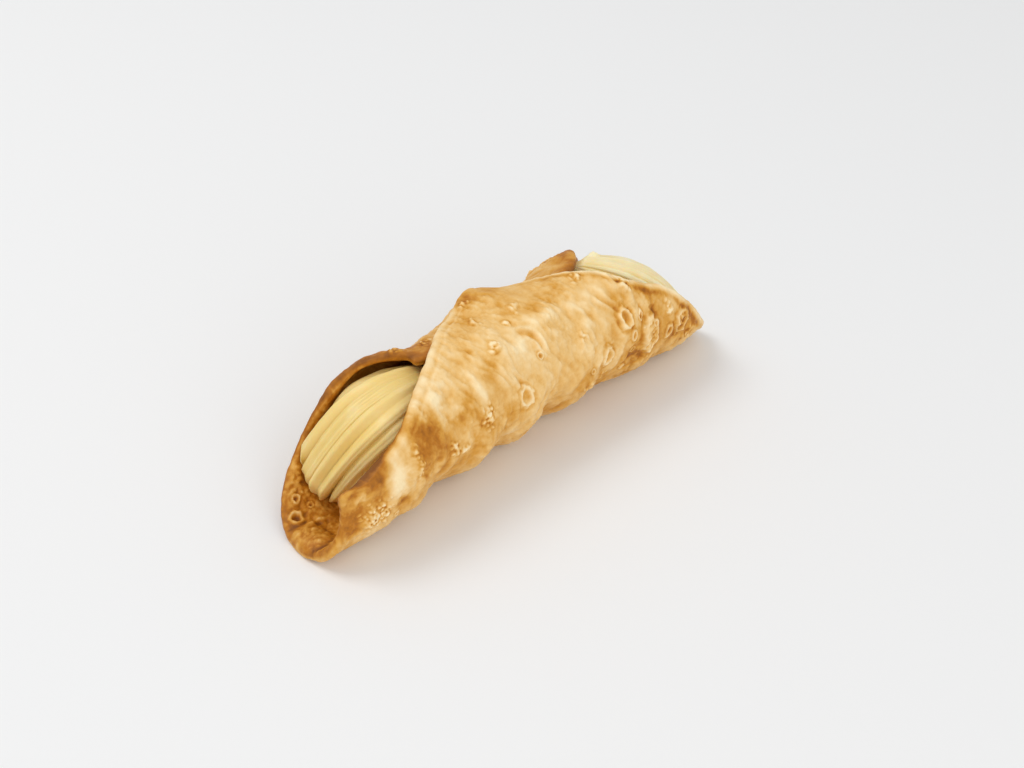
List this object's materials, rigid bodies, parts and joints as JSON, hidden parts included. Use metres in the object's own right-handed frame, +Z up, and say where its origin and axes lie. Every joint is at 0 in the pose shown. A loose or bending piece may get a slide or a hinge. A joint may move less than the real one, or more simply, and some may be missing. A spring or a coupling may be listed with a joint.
{
  "type": "filled cannolo",
  "caption": "Long fried pastry shell rolled into a tube with slanted open ends and an overlapping seam, filled with ridged piped cream that shows at both ends.",
  "frame": {"origin": "middle of the part's footprint on the surface it lies on", "axes": "+X along the rolled tube, from the open end that shows most cream towards the other end; +Z up; the seam side faces up and towards +Y"},
  "size_m": [0.152, 0.0413, 0.0414],
  "materials": {
    "crust": "matte",
    "cream": "satin"
  },
  "bodies": {
    "root": {"shell": "crust", "cream": "cream"}
  },
  "joints": []
}
